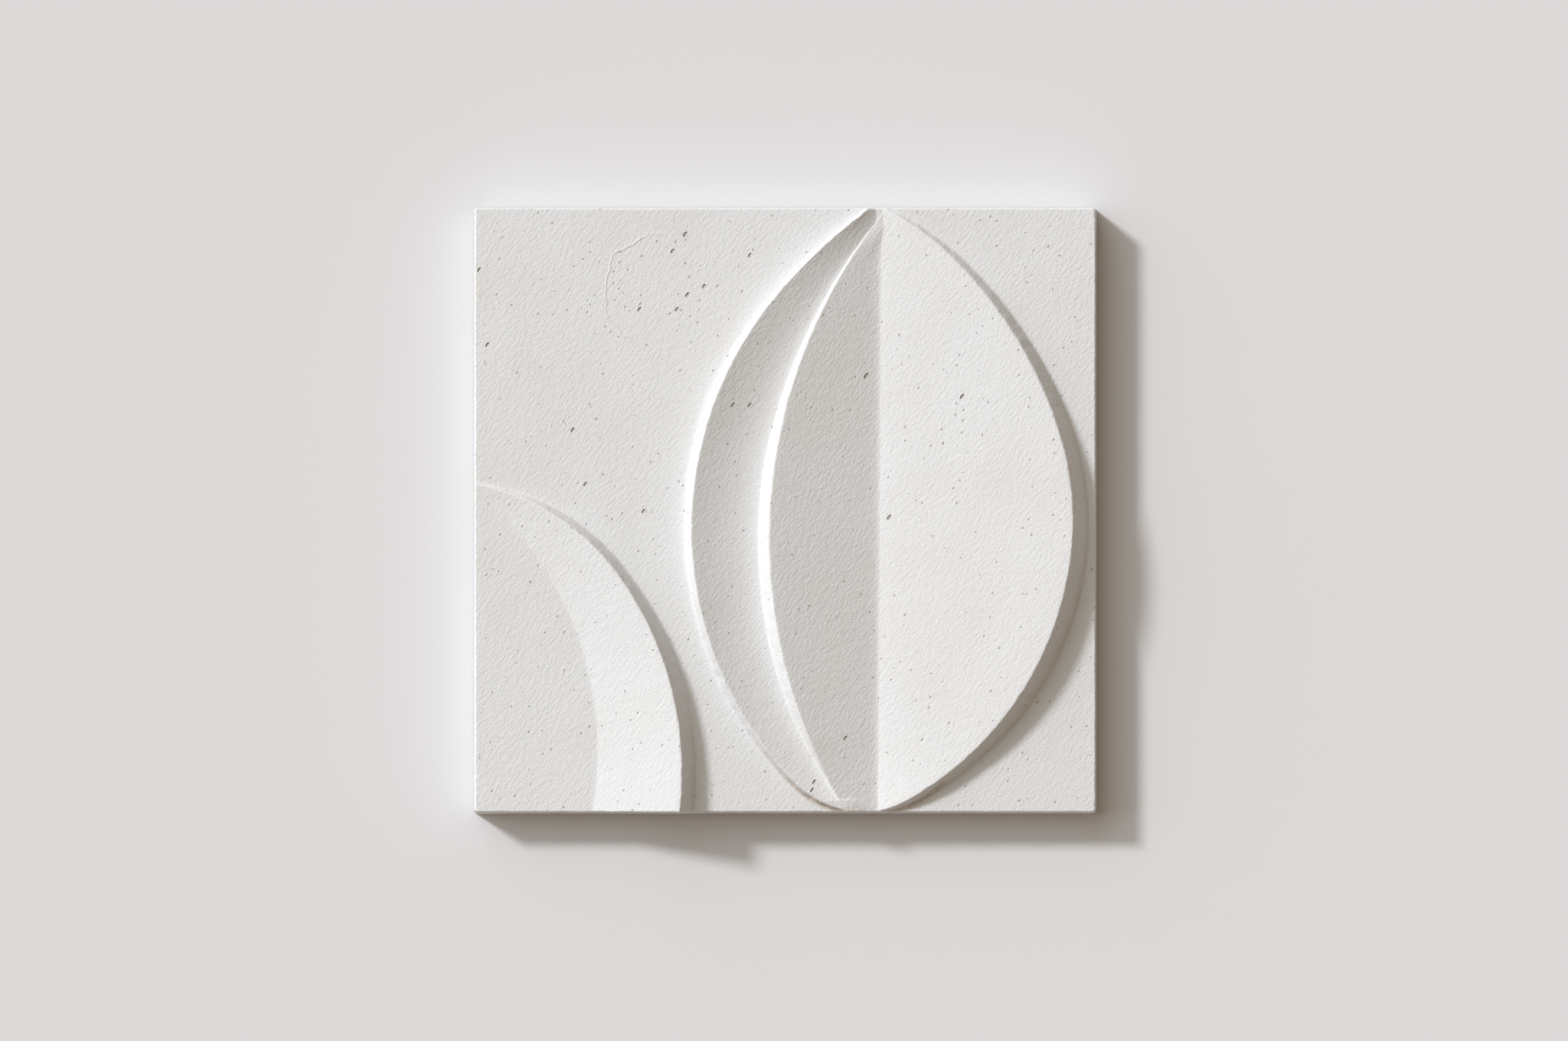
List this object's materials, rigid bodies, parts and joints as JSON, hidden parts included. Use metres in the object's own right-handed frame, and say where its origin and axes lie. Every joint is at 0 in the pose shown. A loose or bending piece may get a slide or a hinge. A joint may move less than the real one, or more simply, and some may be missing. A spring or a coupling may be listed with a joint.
{
  "type": "leaf relief wall tile",
  "caption": "Square cast plaster wall tile with a stylised leaf in relief: a large pointed leaf with a sunken midrib and a small curved leaf in one corner.",
  "frame": {"origin": "middle of the flat back", "axes": "+Z out of the relief face, +X across the tile to the right as it hangs, +Y up the design as it hangs"},
  "size_m": [0.3, 0.292, 0.0341],
  "materials": {
    "plaster": "matt cast plaster"
  },
  "bodies": {
    "root": {"relief_tile": "plaster"}
  },
  "joints": []
}
